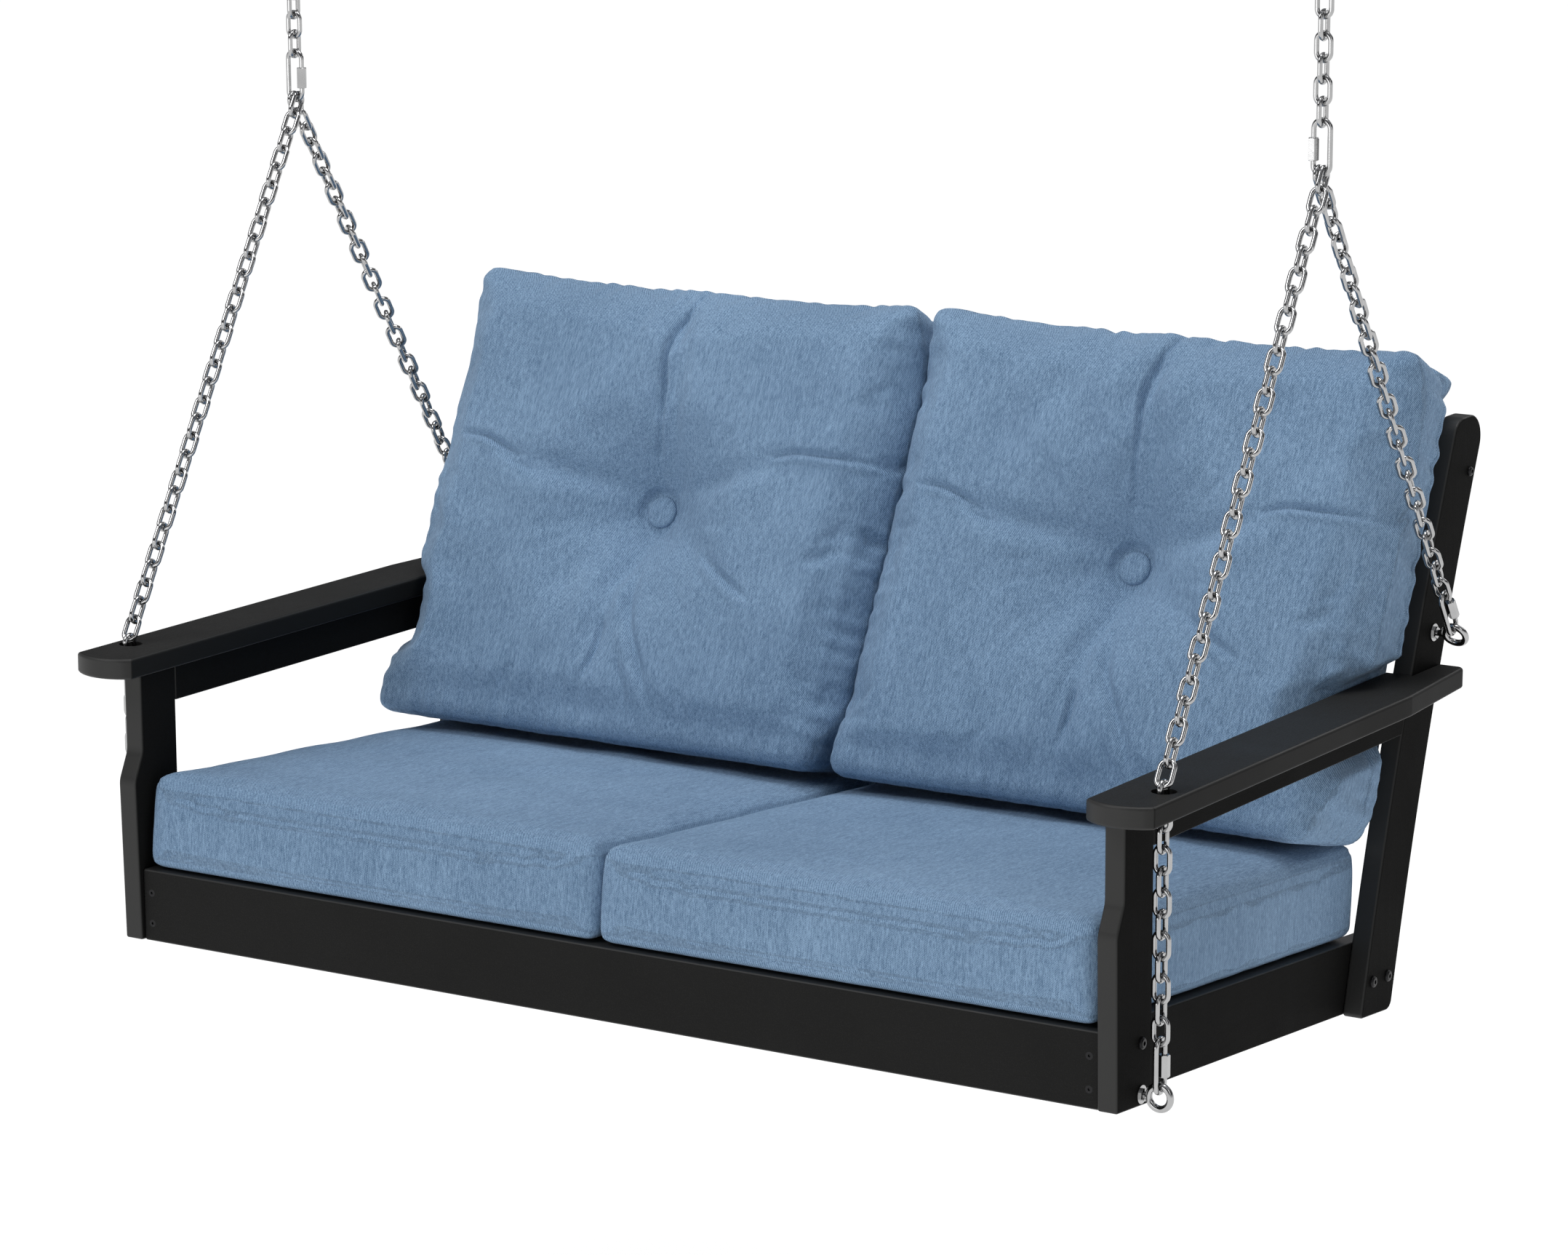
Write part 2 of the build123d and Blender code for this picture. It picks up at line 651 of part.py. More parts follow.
def back_top_z(y):
    """Top of the back cushions at y, square to their fronts."""
    return BACK_TOP_Z - BACK_FRONT_SLOPE * (y - front_y(BACK_TOP_Z))


def back_profile():
    """Side view of a back cushion, thicker at its foot than at its top."""
    room = back_y(BACK_TOP_Z, BACK_SLAT_THICK + CUSHION_GAP) - front_y(BACK_TOP_Z)
    top_rear = front_y(BACK_TOP_Z) + room / (1 + BACK_SLOPE * BACK_FRONT_SLOPE)
    points = [
        (foot_y(), BACK_FOOT_Z),
        (BACK_NOSE_Y, BACK_NOSE_Z),
        (front_y(BACK_TOP_Z), BACK_TOP_Z),
        (top_rear, back_top_z(top_rear)),
    ]
    return side_view(points, {})


def upper_wing():
    """The part of the right back cushion that bulges over the arm, in front of the leg."""
    low_z = arm_z(front_y(ARM_Z)) + WING_GAP
    rear = leg_y(LEG_TOP_Z) - LEG_ROOM
    points = [
        (front_y(low_z), low_z),
        (leg_y(low_z) - LEG_ROOM, low_z),
        (rear, LEG_TOP_Z),
        (rear, back_top_z(rear)),
        (front_y(BACK_TOP_Z), BACK_TOP_Z),
    ]
    return eased(across(side_view(points, {}), BACK_IN + 2 * BACK_ROUND, BACK_WING), WING_ROUND)


def lower_wing():
    """The part of the right back cushion that bulges under the arm rail."""
    high_z = under_arm_z(leg_y(ARM_Z)) - ARM_RAIL_HEIGHT - 2 * WING_GAP
    low_rear = leg_y(BACK_FOOT_Z) - LEG_ROOM
    points = [
        (front_y(high_z), high_z),
        (BACK_NOSE_Y, BACK_NOSE_Z),
        (low_rear, under_back_z(low_rear)),
        (leg_y(high_z) - LEG_ROOM, high_z),
    ]
    return eased(across(side_view(points, {}), BACK_IN + 2 * BACK_ROUND, BACK_LOW_WING), WING_ROUND)


def back_cushion():
    """Right back cushion: leans on the slats, stands on the seat cushion, and is squeezed
    between the arms. Its front is pulled in round the button."""
    main = eased(across(back_profile(), BACK_IN, BACK_OUT), BACK_ROUND)
    return main + upper_wing() + lower_wing() - tuft() - back_hollow()


def back_hollow():
    """The room of the back cushion's loose filling, which weighs next to nothing."""
    room = across(offset(back_profile(), -FILL_WALL), BACK_IN + FILL_WALL, BACK_OUT - FILL_WALL)
    room = eased(room, BACK_ROUND - FILL_WALL)
    column = tuft_plane(0) * Circle(TUFT_R + FILL_WALL / 2)
    return room - extrude(column, TUFT_DEPTH + FILL_WALL)


def tuft_plane(depth):
    """A plane across the tuft, that far in from its mouth, facing rearwards."""
    inward = Vector(0, 1, -BACK_FRONT_SLOPE).normalized()
    beyond_button = depth - (TUFT_DEPTH - CUSHION_GAP - BUTTON_THICK)
    return Plane(origin=Vector(*BUTTON_AT) + inward * beyond_button, z_dir=inward)


def tuft():
    """The hollow that the button draws in the cushion."""
    mouth = tuft_plane(0) * Circle(TUFT_R)
    floor = tuft_plane(TUFT_DEPTH) * Circle(BUTTON_R + 2.0)
    return loft([mouth, floor])


def button():
    """Right back button."""
    disc = extrude(tuft_plane(TUFT_DEPTH - CUSHION_GAP) * Circle(BUTTON_R), -BUTTON_THICK)
    return fillet(disc.edges(), 3.0)


# ---- output -----------------------------------------------------------------------------
def write(name, shapes):
    """Move a node to the row's frame and write it."""
    solids = []
    for shape in shapes if isinstance(shapes, list) else [shapes]:
        solids += (Pos(0, -APEX_Y, -CEILING_Z) * shape).solids()
    body = solids[0] if len(solids) == 1 else Compound(children=solids)
    export_step(body, f"parts/{name}.step")


def main():
    """Build and write every node."""
    os.makedirs("parts", exist_ok=True)
    link = stadium(LINK_WIRE, LINK_INSIDE, LINK_WIDTH)
    quick = stadium(QUICK_WIRE, QUICK_LENGTH - 2 * QUICK_WIRE, QUICK_WIDTH)
    sleeve = hexagon((0, 0, 0), (0, 0, SLEEVE_LENGTH), SLEEVE_FLATS, SLEEVE_BORE)
    sleeve = sleeve & (Pos(0, 0, SLEEVE_LENGTH / 2) * sleeve_cone())
    bolts = frame_bolts()
    screws = frame_screws()
    seat_fixings = seat_screws()
    back_fixings = back_screws()

    pull = rear_top(1) - rear_eye(1)
    front_eyes = []
    rear_eyes = []
    nuts = []
    for _, side in SIDES:
        front_end = APRON_INNER - WASHER_THICK - NUT_THICK - 2
        rear_end = INNER - WASHER_THICK - NUT_THICK - 2
        front_eyes.append(to_side(eye_bolt(FRONT_EYE, (0, 0, 1), front_end), side))
        rear_eyes.append(to_side(eye_bolt(REAR_EYE, (0, pull.Y, pull.Z), rear_end), side))
        pieces = eye_nuts(FRONT_EYE, APRON_INNER) + eye_nuts(REAR_EYE, INNER)
        nuts += [to_side(piece, side) for piece in pieces]
    write("front_eye_bolts", front_eyes)
    write("rear_eye_bolts", rear_eyes)
    write("eye_bolt_nuts", nuts)
    write("frame_bolts", bolts)
    write("frame_screws", screws)
    write("seat_screws", seat_fixings)
    write("back_screws", back_fixings)

    fixings = bolts + screws + front_eyes + rear_eyes
    post = front_post()
    leg = back_leg()
    apron = side_apron()
    rail = arm_rail()
    rest = arm(leg)
    for name, side in SIDES:
        write(f"front_post_{name}", cut(to_side(post, side), fixings))
        write(f"back_leg_{name}", cut(to_side(leg, side), fixings))
        write(f"side_apron_{name}", cut(to_side(apron, side), fixings + seat_fixings))
        write(f"arm_rail_{name}", cut(to_side(rail, side), fixings))
        write(f"arm_{name}", cut(to_side(rest, side), fixings))
    write("front_apron", cut(front_apron(), fixings))

    rear_apron_width = 2 * APRON_INNER - 0.4
    rear_apron = leaning(rear_apron_width, BOARD, REAR_APRON_HEIGHT, 0, REAR_APRON_Z, -BOARD / 2)
    top_rail = leaning(2 * INNER - 0.4, BOARD, TOP_RAIL_HEIGHT, 0, TOP_RAIL_Z, -BOARD / 2)
    write("rear_apron", cut(rear_apron, bolts + back_fixings))
    write("back_top_rail", cut(top_rail, bolts + back_fixings))
    for n, x in enumerate(back_slat_places(), 1):
        write(f"back_slat_{n}", cut(back_slat(x), back_fixings))
    for n, y in enumerate(slat_middles(), 1):
        write(f"seat_slat_{n}", cut(seat_slat(y), seat_fixings))
    cleat_in = APRON_INNER - CLEAT_WIDTH
    cleat = under_seat(cleat_in, APRON_INNER, CLEAT_HEIGHT, SEAT_SLAT_START, CLEAT_END_Y)
    for name, side in SIDES:
        write(f"seat_cleat_{name}", cut(to_side(cleat, side), seat_fixings))
    bearer = under_seat(-BOARD / 2, BOARD / 2, BEARER_HEIGHT, APRON_Y + BOARD + 0.3, BEARER_END_Y)
    write("seat_bearer", cut(bearer, seat_fixings))

    quicks = {"top": [], "front": [], "rear": []}
    for name, side in SIDES:
        write(f"upper_chain_{name}", upper_chain(link, side))
        write(f"front_chain_{name}", front_chain(link, side))
        write(f"rear_chain_{name}", rear_chain(link, side))
        write(f"ceiling_plate_{name}", ceiling_plate(side))
        line = rear_top(side) - rear_eye(side)
        rear_middle = rear_eye(side) + line.normalized() * QUICK_FROM_EYE
        front_middle = (side * CHAIN_X, CHAIN_Y, FRONT_EYE[2] + QUICK_FROM_EYE)
        top_middle = (side * CHAIN_X, APEX_Y, APEX_Z + QUICK_HALF)
        for place, middle, along, wide in (
            ("top", top_middle, (0, 0, 1), (-side, 0, 0)),
            ("front", front_middle, (0, 0, 1), (0, 1, 0)),
            ("rear", rear_middle, line, (0, 1, 0)),
        ):
            solid, nut = quick_pair(quick, sleeve, middle, along, wide)
            quicks[place].append(solid)
            write(f"{place}_sleeve_{name}", nut)
    for place, pair in quicks.items():
        write(f"{place}_quick_links", pair)

    cushion = seat_cushion()
    pillow = back_cushion()
    for name, side in SIDES:
        write(f"seat_cushion_{name}", to_side(cushion, side))
        write(f"back_cushion_{name}", to_side(pillow, side))
    write("back_buttons", [to_side(button(), side) for _, side in SIDES])
    print("ceiling", CEILING_Z)
    print("seat axis", APEX_Z - CEILING_Z, "eye axis", EYE_AXIS_Z - CEILING_Z)


def sleeve_cone():
    """Rounds off a sleeve's corners at both ends."""
    radius = SLEEVE_FLATS / 2 / cos(radians(30))
    barrel = Cylinder(radius + 0.01, SLEEVE_LENGTH)
    return chamfer(barrel.edges().filter_by(GeomType.CIRCLE), 1.0)


main()
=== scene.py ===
import math

import bpy
import numpy as np
from mathutils import Matrix, Vector


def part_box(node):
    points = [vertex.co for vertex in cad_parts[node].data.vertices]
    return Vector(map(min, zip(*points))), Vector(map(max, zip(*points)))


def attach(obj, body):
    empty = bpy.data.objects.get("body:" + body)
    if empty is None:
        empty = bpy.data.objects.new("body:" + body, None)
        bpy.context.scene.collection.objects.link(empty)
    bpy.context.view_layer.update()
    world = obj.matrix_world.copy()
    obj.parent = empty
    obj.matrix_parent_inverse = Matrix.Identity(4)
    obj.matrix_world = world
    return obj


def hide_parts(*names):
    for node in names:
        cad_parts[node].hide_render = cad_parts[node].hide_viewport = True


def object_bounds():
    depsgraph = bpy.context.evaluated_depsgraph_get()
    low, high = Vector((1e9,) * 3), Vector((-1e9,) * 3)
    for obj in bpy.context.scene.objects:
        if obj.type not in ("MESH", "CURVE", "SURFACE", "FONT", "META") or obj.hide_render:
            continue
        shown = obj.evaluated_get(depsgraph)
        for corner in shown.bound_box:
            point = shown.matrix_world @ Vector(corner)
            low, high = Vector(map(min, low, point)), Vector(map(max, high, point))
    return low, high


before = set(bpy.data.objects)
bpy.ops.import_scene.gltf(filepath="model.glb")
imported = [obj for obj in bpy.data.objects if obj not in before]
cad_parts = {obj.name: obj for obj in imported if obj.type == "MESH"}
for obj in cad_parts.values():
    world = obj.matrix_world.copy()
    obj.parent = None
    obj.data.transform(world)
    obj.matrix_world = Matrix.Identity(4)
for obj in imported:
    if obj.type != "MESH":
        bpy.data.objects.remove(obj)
CAD_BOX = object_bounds()

# ---- places, in metres, in the row's frame ---------------------------------------------
SEAT_SLOPE = 0.0866  # the seat falls this much per unit of depth
BACK_SLOPE = 0.347  # rearward run of the back per unit of height
FACE_SLOPE = 0.503  # the same of the back cushions' fronts
SEAT_LEAN = math.atan(SEAT_SLOPE)
FACE_LEAN = math.atan(FACE_SLOPE)
FACE_UP = Vector((0, math.sin(FACE_LEAN), math.cos(FACE_LEAN)))
FACE_OUT = Vector((0, -math.cos(FACE_LEAN), math.sin(FACE_LEAN)))
BUTTON_AT = Vector((0.348, 0.2647, -0.8063))  # middle of the right button's front
FLOOR_DROP = 0.42  # the floor lies this far under the seat

CAMERA_AT = (3.31415, -5.32601, 0.51175)
CAMERA_AZIMUTH = 31.848  # degrees round from the front, towards +X
CAMERA_ELEVATION = 12.438
CAMERA_ROLL = -0.205
LENS = 120.1  # mm on a 36 mm wide sensor

GRAIN_ACROSS = 90.0  # the boards' grain, in features per metre
GRAIN_ALONG = 9.0
BLACK = (0.0085, 0.0085, 0.0082)
SPECK = (0.021, 0.021, 0.0203)
TWILL_PITCH = 0.0024
DEEP_BLUE = (0.074, 0.138, 0.232, 1)
PALE_BLUE = (0.275, 0.412, 0.585, 1)


# ---- nodes of a material ---------------------------------------------------------------
class Shader:
    """A material's node tree, with short ways to add and join nodes."""

    def __init__(self, name):
        self.material = bpy.data.materials.new(name)
        self.material.use_nodes = True
        self.tree = self.material.node_tree
        self.surface = self.tree.nodes["Principled BSDF"]

    def add(self, kind, **values):
        node = self.tree.nodes.new(kind)
        for key, value in values.items():
            setattr(node, key, value)
        return node

    def join(self, source, target):
        self.tree.links.new(source, target)

    def feed(self, socket, value):
        if isinstance(value, bpy.types.NodeSocket):
            self.join(value, socket)
        else:
            socket.default_value = value

    def where(self):
        """Positions in the row's frame, at rest."""
        return self.add("ShaderNodeTexCoord").outputs["Object"]

    def stretched(self, scale, turn=(0.0, 0.0, 0.0), source=None):
        mapping = self.add("ShaderNodeMapping")
        mapping.inputs["Scale"].default_value = scale
        mapping.inputs["Rotation"].default_value = turn
        self.join(source or self.where(), mapping.inputs["Vector"])
        return mapping.outputs["Vector"]

    def noise(self, scale, detail=3.0, rough=0.5, source=None, distortion=0.0):
        node = self.add("ShaderNodeTexNoise")
        node.inputs["Scale"].default_value = scale
        node.inputs["Detail"].default_value = detail
        node.inputs["Roughness"].default_value = rough
        node.inputs["Distortion"].default_value = distortion
        self.join(source or self.where(), node.inputs["Vector"])
        return node.outputs["Fac"]

    def spots(self, scale, source=None):
        node = self.add("ShaderNodeTexVoronoi")
        node.inputs["Scale"].default_value = scale
        self.join(source or self.where(), node.inputs["Vector"])
        return node.outputs["Distance"]

    def ramp(self, value, *stops):
        """Maps a value through (place, level) stops."""
        node = self.add("ShaderNodeMapRange")
        (low, first), (high, last) = stops
        node.inputs["From Min"].default_value = low
        node.inputs["From Max"].default_value = high
        node.inputs["To Min"].default_value = first
        node.inputs["To Max"].default_value = last
        self.feed(node.inputs["Value"], value)
        return node.outputs["Result"]

    def math(self, operation, first, second=0.0):
        node = self.add("ShaderNodeMath", operation=operation)
        self.feed(node.inputs[0], first)
        self.feed(node.inputs[1], second)
        return node.outputs[0]

    def mix(self, share, first, second):
        node = self.add("ShaderNodeMix", data_type="RGBA")
        self.feed(node.inputs["Factor"], share)
        self.feed(node.inputs["A"], first)
        self.feed(node.inputs["B"], second)
        return node.outputs["Result"]

    def bump(self, height, distance, strength=1.0, under=None):
        node = self.add("ShaderNodeBump")
        node.inputs["Distance"].default_value = distance
        node.inputs["Strength"].default_value = strength
        self.join(height, node.inputs["Height"])
        if under:
            self.join(under, node.inputs["Normal"])
        return node.outputs["Normal"]

    def axis_share(self, axis):
        """How far the true surface normal points along a direction, from 0 to 1."""
        dot = self.add("ShaderNodeVectorMath", operation="DOT_PRODUCT")
        self.join(self.add("ShaderNodeTexCoord").outputs["Normal"], dot.inputs[0])
        dot.inputs[1].default_value = axis
        return self.math("ABSOLUTE", dot.outputs["Value"])


def lumber(name, face_axis, grain_axis, tone=1.0):
    """Black plastic board: pressed, speckled faces with faint grain, and smoother machined
    edges, painted lighter for their finish and also as a painted highlight, with painted
    shade darkening what faces to the sides. face_axis is square to its faces;
    grain_axis runs along its length; tone brightens its faces, as painted light where it
    is above 1."""
    s = Shader(name)
    scale = [GRAIN_ACROSS] * 3
    scale[grain_axis] = GRAIN_ALONG
    grain = s.noise(1.0, 4.0, 0.62, s.stretched(scale))
    pits = s.noise(620.0, 2.0, 0.6)
    cloud = s.noise(7.0, 3.0)
    on_face = s.ramp(s.axis_share(face_axis), (0.86, 0.0), (0.985, 1.0))
    speckle = s.ramp(s.spots(520.0), (0.12, 1.0), (0.34, 0.0))
    # tone above 1 paints light onto the faces (the arms' tops)
    dark, speck = ((*(tone * c for c in colour), 1) for colour in (BLACK, SPECK))
    face = s.mix(s.math("MULTIPLY", speckle, 0.5), dark, speck)
    # edge colour: partly the smoother machined finish, partly a painted highlight for the light the
    # front edges catch
    edge = s.mix(cloud, (0.0205, 0.0205, 0.0200, 1), (0.029, 0.029, 0.0280, 1))
    # painted shade: what faces to the sides is darkened towards BLACK and given less shine
    sideways_painted_shade = s.ramp(s.axis_share((1, 0, 0)), (0.5, 0.0), (0.95, 1.0))
    board = s.mix(on_face, edge, face)
    board = s.mix(s.math("MULTIPLY", sideways_painted_shade, 0.75), board, (*BLACK, 1))
    s.join(board, s.surface.inputs["Base Color"])
    worn = s.math("ADD", cloud, s.math("MULTIPLY", pits, 0.6))
    rough = s.add("ShaderNodeMix", data_type="FLOAT")
    s.join(on_face, rough.inputs["Factor"])
    s.join(s.ramp(cloud, (0.3, 0.42), (0.7, 0.5)), rough.inputs["A"])
    s.join(s.ramp(worn, (0.5, 0.52), (1.1, 0.68)), rough.inputs["B"])
    s.join(rough.outputs["Result"], s.surface.inputs["Roughness"])
    shine = s.ramp(on_face, (0.0, 0.28), (1.0, 0.12))
    shine = s.math("MULTIPLY", shine, s.ramp(sideways_painted_shade, (0.0, 1.0), (1.0, 0.13)))
    s.join(shine, s.surface.inputs["Specular IOR Level"])
    pressed = s.math("ADD", s.math("MULTIPLY", pits, 0.8), s.math("MULTIPLY", grain, 0.7))
    height = s.math("MULTIPLY", pressed, s.ramp(on_face, (0.0, 0.22), (1.0, 1.0)))
    s.join(s.bump(height, 0.00055, 0.75), s.surface.inputs["Normal"])
    return s.material


def bright_steel(name, rough):
    """Polished plated wire: fine drawing lines, faint handling marks."""
    s = Shader(name)
    tone = s.ramp(s.noise(60.0, 3.0), (0.3, 0.78), (0.7, 0.9))
    s.join(s.mix(tone, (0.10, 0.10, 0.103, 1), (0.50, 0.50, 0.50, 1)), s.surface.inputs["Base Color"])
    s.surface.inputs["Metallic"].default_value = 1.0
    marks = s.noise(900.0, 4.0, 0.65)
    s.join(s.ramp(marks, (0.3, rough), (0.75, rough + 0.14)), s.surface.inputs["Roughness"])
    s.join(s.bump(s.noise(260.0, 4.0, 0.6), 0.00012, 0.5), s.surface.inputs["Normal"])
    return s.material


def black_metal(name):
    """Black coated bolt heads, a little worn and glossier than the boards."""
    s = Shader(name)
    wear = s.ramp(s.noise(420.0, 4.0, 0.7), (0.62, 0.0), (0.8, 1.0))
    tone = s.mix(wear, (0.012, 0.012, 0.013, 1), (0.05, 0.05, 0.052, 1))
    s.join(tone, s.surface.inputs["Base Color"])
    s.surface.inputs["Metallic"].default_value = 0.6
    s.join(s.ramp(s.noise(150.0, 3.0), (0.3, 0.3), (0.7, 0.45)), s.surface.inputs["Roughness"])
    s.join(s.bump(s.noise(700.0, 2.0), 0.0001, 0.4), s.surface.inputs["Normal"])
    return s.material


def woven(name, across, along, through):
    """Heathered twill. The warp, with its slubs, runs along the piece's face, and turns to
    run through it where the cover goes over an edge. The three directions are square."""
    s = Shader(name)
    turn = tuple(Matrix((across, along, through)).transposed().inverted().to_euler())
    cloth = s.stretched((1.0, 1.0, 1.0), turn)
    over_edge = s.ramp(s.axis_share(tuple(through)), (0.45, 1.0), (0.75, 0.0))
    top_edge = s.ramp(s.axis_share(tuple(along)), (0.6, 0.0), (0.8, 1.0))

    def threads(fine, long):
        """Streaks along the warp on faces, and through the piece on its rims."""
        flat = s.noise(1.0, 4.0, 0.7, s.stretched((fine, long, fine), source=cloth))
        rim = s.noise(1.0, 4.0, 0.7, s.stretched((fine, fine, long), source=cloth))
        pick = s.add("ShaderNodeMix", data_type="FLOAT")
        s.join(over_edge if name == "cloth_seat" else top_edge, pick.inputs["Factor"])
        s.join(flat, pick.inputs["A"])
        s.join(rim, pick.inputs["B"])
        return pick.outputs["Result"]

    slub = threads(760.0, 120.0)
    slub_wide = threads(300.0, 26.0)
    cloud = s.noise(5.0, 3.0)
    flecks = s.noise(1100.0, 2.0, 0.6)
    axes = s.add("ShaderNodeSeparateXYZ")
    s.join(cloth, axes.inputs[0])
    turned = s.ramp(s.axis_share(tuple(through)), (0.2, 1.0), (0.35, 0.0))
    level = s.math("ADD", axes.outputs["X"], axes.outputs["Y"])
    level = s.math("ADD", level, s.math("MULTIPLY", axes.outputs["Z"], turned))
    twill = s.math("SINE", s.math("MULTIPLY", level, 2 * math.pi / TWILL_PITCH))
    twill = s.math("MULTIPLY", s.math("ADD", twill, 1.0), 0.5)
    total = s.math("ADD", s.math("MULTIPLY", slub, 0.40), s.math("MULTIPLY", slub_wide, 0.17))
    total = s.math("ADD", total, s.math("MULTIPLY", flecks, 0.33))
    total = s.math("ADD", total, s.math("MULTIPLY", s.math("SUBTRACT", twill, 0.5), 0.13))
    total = s.math("ADD", total, s.math("MULTIPLY", s.math("SUBTRACT", cloud, 0.5), 0.08))
    share = s.ramp(total, (0.370, 0.0), (0.533, 1.0))
    s.join(s.mix(share, DEEP_BLUE, PALE_BLUE), s.surface.inputs["Base Color"])
    s.surface.inputs["Roughness"].default_value = 0.92
    s.surface.inputs["Specular IOR Level"].default_value = 0.15
    s.surface.inputs["Sheen Weight"].default_value = 0.15
    s.surface.inputs["Sheen Roughness"].default_value = 0.5
    s.surface.inputs["Sheen Tint"].default_value = (0.72, 0.82, 0.95, 1)
    weave = s.math("ADD", s.math("MULTIPLY", slub, 0.5), s.math("MULTIPLY", twill, 0.35))
    weave = s.math("ADD", weave, s.math("MULTIPLY", flecks, 0.4))
    s.join(s.bump(weave, 0.0007, 0.6), s.surface.inputs["Normal"])
    return s.material


# ---- mesh helpers ----------------------------------------------------------------------
def new_piece(name, vertices, faces):
    """A shown mesh object, smooth shaded."""
    mesh = bpy.data.meshes.new(name)
    mesh.from_pydata([tuple(v) for v in vertices], [], faces)
    mesh.update()
    mesh.shade_smooth()
    piece = bpy.data.objects.new(name, mesh)
    bpy.context.scene.collection.objects.link(piece)
    return piece


def points_of(piece):
    co = np.zeros(len(piece.data.vertices) * 3)
    piece.data.vertices.foreach_get("co", co)
    return co.reshape(-1, 3)


def move_points(piece, co):
    piece.data.vertices.foreach_set("co", co.ravel())
    piece.data.update()


def rounded_block(size, rounding, cell):
    """Points and faces of a block centred on the origin, its edges rounded, in even cells."""
    counts = [max(2, round(s / cell)) for s in size]
    faces = []
    for axis in range(3):
        a, b = (axis + 1) % 3, (axis + 2) % 3
        for end in (0, counts[axis]):
            for i in range(counts[a]):
                for j in range(counts[b]):
                    ring = []
                    for di, dj in ((0, 0), (1, 0), (1, 1), (0, 1)):
                        key = [0, 0, 0]
                        key[axis], key[a], key[b] = end, i + di, j + dj
                        ring.append(tuple(key))
                    faces.append(ring if end else ring[::-1])
    keys = sorted({k for ring in faces for k in ring})
    index = {k: n for n, k in enumerate(keys)}
    co = (np.array(keys, float) / np.array(counts) - 0.5) * np.array(size)
    core = np.array(size) / 2 - rounding
    inner = np.clip(co, -core, core)
    out = co - inner
    length = np.linalg.norm(out, axis=1, keepdims=True)
    reach = np.where(length > 1e-9, rounding / np.maximum(length, 1e-9), 0.0)
    at_edge = (np.abs(out) > 1e-9).sum(1, keepdims=True) > 1
    co = np.where(at_edge, inner + out * reach, co)
    return co, [[index[k] for k in ring] for ring in faces]


CLOTH_STIFFNESS = 12.0
CLOTH_FRAMES = 20


def inflate(piece, voxel, pressure, cap, pinned, grow=0.0):
    """Cloth simulation: the skin is remeshed, blown up and pulled by its own tension. pinned
    gives each point's hold from 0 to 1; grow makes the cloth larger than the form inside it;
    no point moves further than cap."""
    remesh = piece.modifiers.new("remesh", "REMESH")
    remesh.mode = "VOXEL"
    remesh.voxel_size = voxel
    apply_modifiers(piece)
    start = points_of(piece)
    cloth = piece.modifiers.new("cloth", "CLOTH")
    setup = cloth.settings
    setup.quality = 5
    setup.mass = 0.3
    setup.tension_stiffness = CLOTH_STIFFNESS
    setup.compression_stiffness = CLOTH_STIFFNESS
    setup.shear_stiffness = 4.0
    setup.bending_stiffness = 0.35
    setup.air_damping = 4.0
    setup.use_pressure = True
    setup.uniform_pressure_force = pressure
    setup.shrink_min = -grow
    setup.shrink_max = -grow
    setup.effector_weights.gravity = 0.0
    cloth.collision_settings.use_collision = False
    cloth.point_cache.frame_end = CLOTH_FRAMES
    group = piece.vertex_groups.new(name="held")
    for n, weight in enumerate(pinned(start)):
        if weight > 0:
            group.add([n], float(weight), "REPLACE")
    setup.vertex_group_mass = "held"
    setup.pin_stiffness = 2.0
    scene = bpy.context.scene
    for n in range(1, CLOTH_FRAMES + 1):
        scene.frame_set(n)
    apply_modifiers(piece)
    scene.frame_set(1)
    moved = points_of(piece) - start
    length = np.linalg.norm(moved, axis=1, keepdims=True)
    move_points(piece, start + moved * np.minimum(1.0, cap / np.maximum(length, 1e-9)))


def apply_modifiers(piece):
    """The piece's evaluated shape becomes its own mesh."""
    bpy.context.view_layer.update()
    shape = piece.evaluated_get(bpy.context.evaluated_depsgraph_get())
    mesh = bpy.data.meshes.new_from_object(shape)
    piece.modifiers.clear()
    old = piece.data
    piece.data = mesh
    bpy.data.meshes.remove(old)


def smoother(piece):
    """One subdivision."""
    finer = piece.modifiers.new("finer", "SUBSURF")
    finer.levels = 1
    finer.render_levels = 1
    apply_modifiers(piece)
    piece.data.shade_smooth()


def smoothstep(x, low, high):
    t = np.clip((x - low) / (high - low), 0, 1)
    return t * t * (3 - 2 * t)


def wave(x, seed, count=5, low=0.6, high=1.7):
    """A smooth uneven wave of about unit size and period."""
    rng = np.random.default_rng(seed)
    total = np.zeros_like(x)
    for _ in range(count):
        total += np.sin(2 * math.pi * x * rng.uniform(low, high) + rng.uniform(0, 2 * math.pi))
    return total / math.sqrt(count)


# ---- seat cushions ---------------------------------------------------------------------
SEAT_DEPTH = 0.664
SEAT_THICK = 0.118
SEAT_ROUND = 0.013
SEAT_CROWN = 0.007  # the top stands this much higher in its middle
SEAM_DROP = 0.009  # the sewn edge lies this far under the top
SIDE_ROOM = 0.0018  # the cushions swell this much past their sides, at most
SIDE_SWELL = 0.0025
SEAM_PINCH = 0.0015
SIDE_PULL = 0.0009  # unevenness of the sides
STITCH = 0.0003
STITCH_PITCH = 0.007
TOP_UNEVEN = 0.0012
CELL = 0.012  # of the blocks that cushions start from


